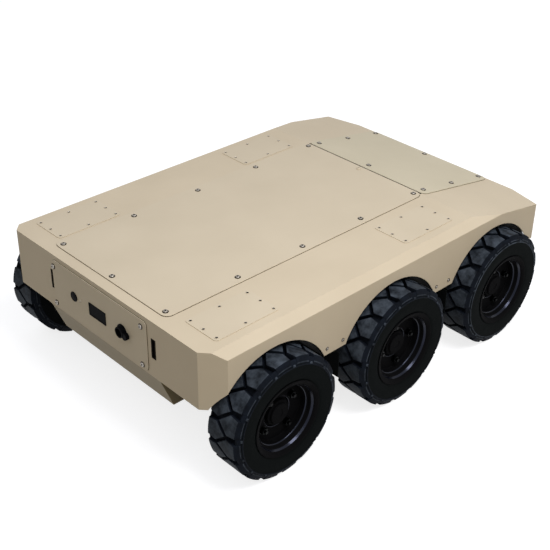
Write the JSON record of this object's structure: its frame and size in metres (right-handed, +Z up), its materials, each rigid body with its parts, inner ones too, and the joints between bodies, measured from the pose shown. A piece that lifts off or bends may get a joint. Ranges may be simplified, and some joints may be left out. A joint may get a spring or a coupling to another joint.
{
  "type": "six-wheeled robot chassis",
  "caption": "Low robot chassis: a tan sheet-metal hull with bevelled sides, sloped nose, screwed covers and drilled payload pads, on lugged solid tyres with hub drives.",
  "frame": {"origin": "on the ground, under the middle of the overall length and width", "axes": "+X forward, towards the sloped nose; +Y to the left; +Z up"},
  "size_m": [1.471, 1.092, 0.4653],
  "materials": {
    "hull_paint": "fine-textured powder coat",
    "cover_paint": "fine-textured powder coat",
    "tub_paint": "fine-textured powder coat",
    "tyre": "moulded rubber, satin",
    "rim": "gloss black enamel",
    "hub": "blackened steel",
    "drive": "black paint",
    "button": "gloss",
    "lamp": "gloss",
    "socket": "satin",
    "display": "gloss",
    "battery": "matt"
  },
  "bodies": {
    "chassis": {"deck": "hull_paint", "side_panel_right": "hull_paint", "side_panel_left": "hull_paint", "rear_wall": "hull_paint", "nose_wall": "hull_paint", "lower_tub": "tub_paint", "deck_lid": "cover_paint", "nose_hatch": "cover_paint", "rear_panel": "cover_paint", "payload_pad_rear_right": "cover_paint", "payload_pad_rear_left": "cover_paint", "payload_pad_front_right": "cover_paint", "payload_pad_front_left": "cover_paint", "power_button": "button", "status_lamp": "lamp", "charge_socket": "socket", "display": "display", "battery_block": "battery", "drive_rear_right": "drive", "drive_rear_left": "drive", "drive_middle_right": "drive", "drive_middle_left": "drive", "drive_front_right": "drive", "drive_front_left": "drive"},
    "wheel_rear_right": {"tyre_rear_right": "tyre", "rim_rear_right": "rim", "hub_rear_right": "hub"},
    "wheel_rear_left": {"tyre_rear_left": "tyre", "rim_rear_left": "rim", "hub_rear_left": "hub"},
    "wheel_middle_right": {"tyre_middle_right": "tyre", "rim_middle_right": "rim", "hub_middle_right": "hub"},
    "wheel_middle_left": {"tyre_middle_left": "tyre", "rim_middle_left": "rim", "hub_middle_left": "hub"},
    "wheel_front_right": {"tyre_front_right": "tyre", "rim_front_right": "rim", "hub_front_right": "hub"},
    "wheel_front_left": {"tyre_front_left": "tyre", "rim_front_left": "rim", "hub_front_left": "hub"}
  },
  "joints": [
    {"name": "wheel_rear_right_spin", "type": "hinge", "parent": "chassis", "child": "wheel_rear_right", "pos_m": [-0.50317, -0.483, 0.1925], "axis": [0, 1, 0], "continuous": true},
    {"name": "wheel_rear_left_spin", "type": "hinge", "parent": "chassis", "child": "wheel_rear_left", "pos_m": [-0.50317, 0.483, 0.1925], "axis": [0, 1, 0], "continuous": true},
    {"name": "wheel_middle_right_spin", "type": "hinge", "parent": "chassis", "child": "wheel_middle_right", "pos_m": [-0.0185, -0.483, 0.1925], "axis": [0, 1, 0], "continuous": true},
    {"name": "wheel_middle_left_spin", "type": "hinge", "parent": "chassis", "child": "wheel_middle_left", "pos_m": [-0.0185, 0.483, 0.1925], "axis": [0, 1, 0], "continuous": true},
    {"name": "wheel_front_right_spin", "type": "hinge", "parent": "chassis", "child": "wheel_front_right", "pos_m": [0.46617, -0.483, 0.1925], "axis": [0, 1, 0], "continuous": true},
    {"name": "wheel_front_left_spin", "type": "hinge", "parent": "chassis", "child": "wheel_front_left", "pos_m": [0.46617, 0.483, 0.1925], "axis": [0, 1, 0], "continuous": true}
  ]
}
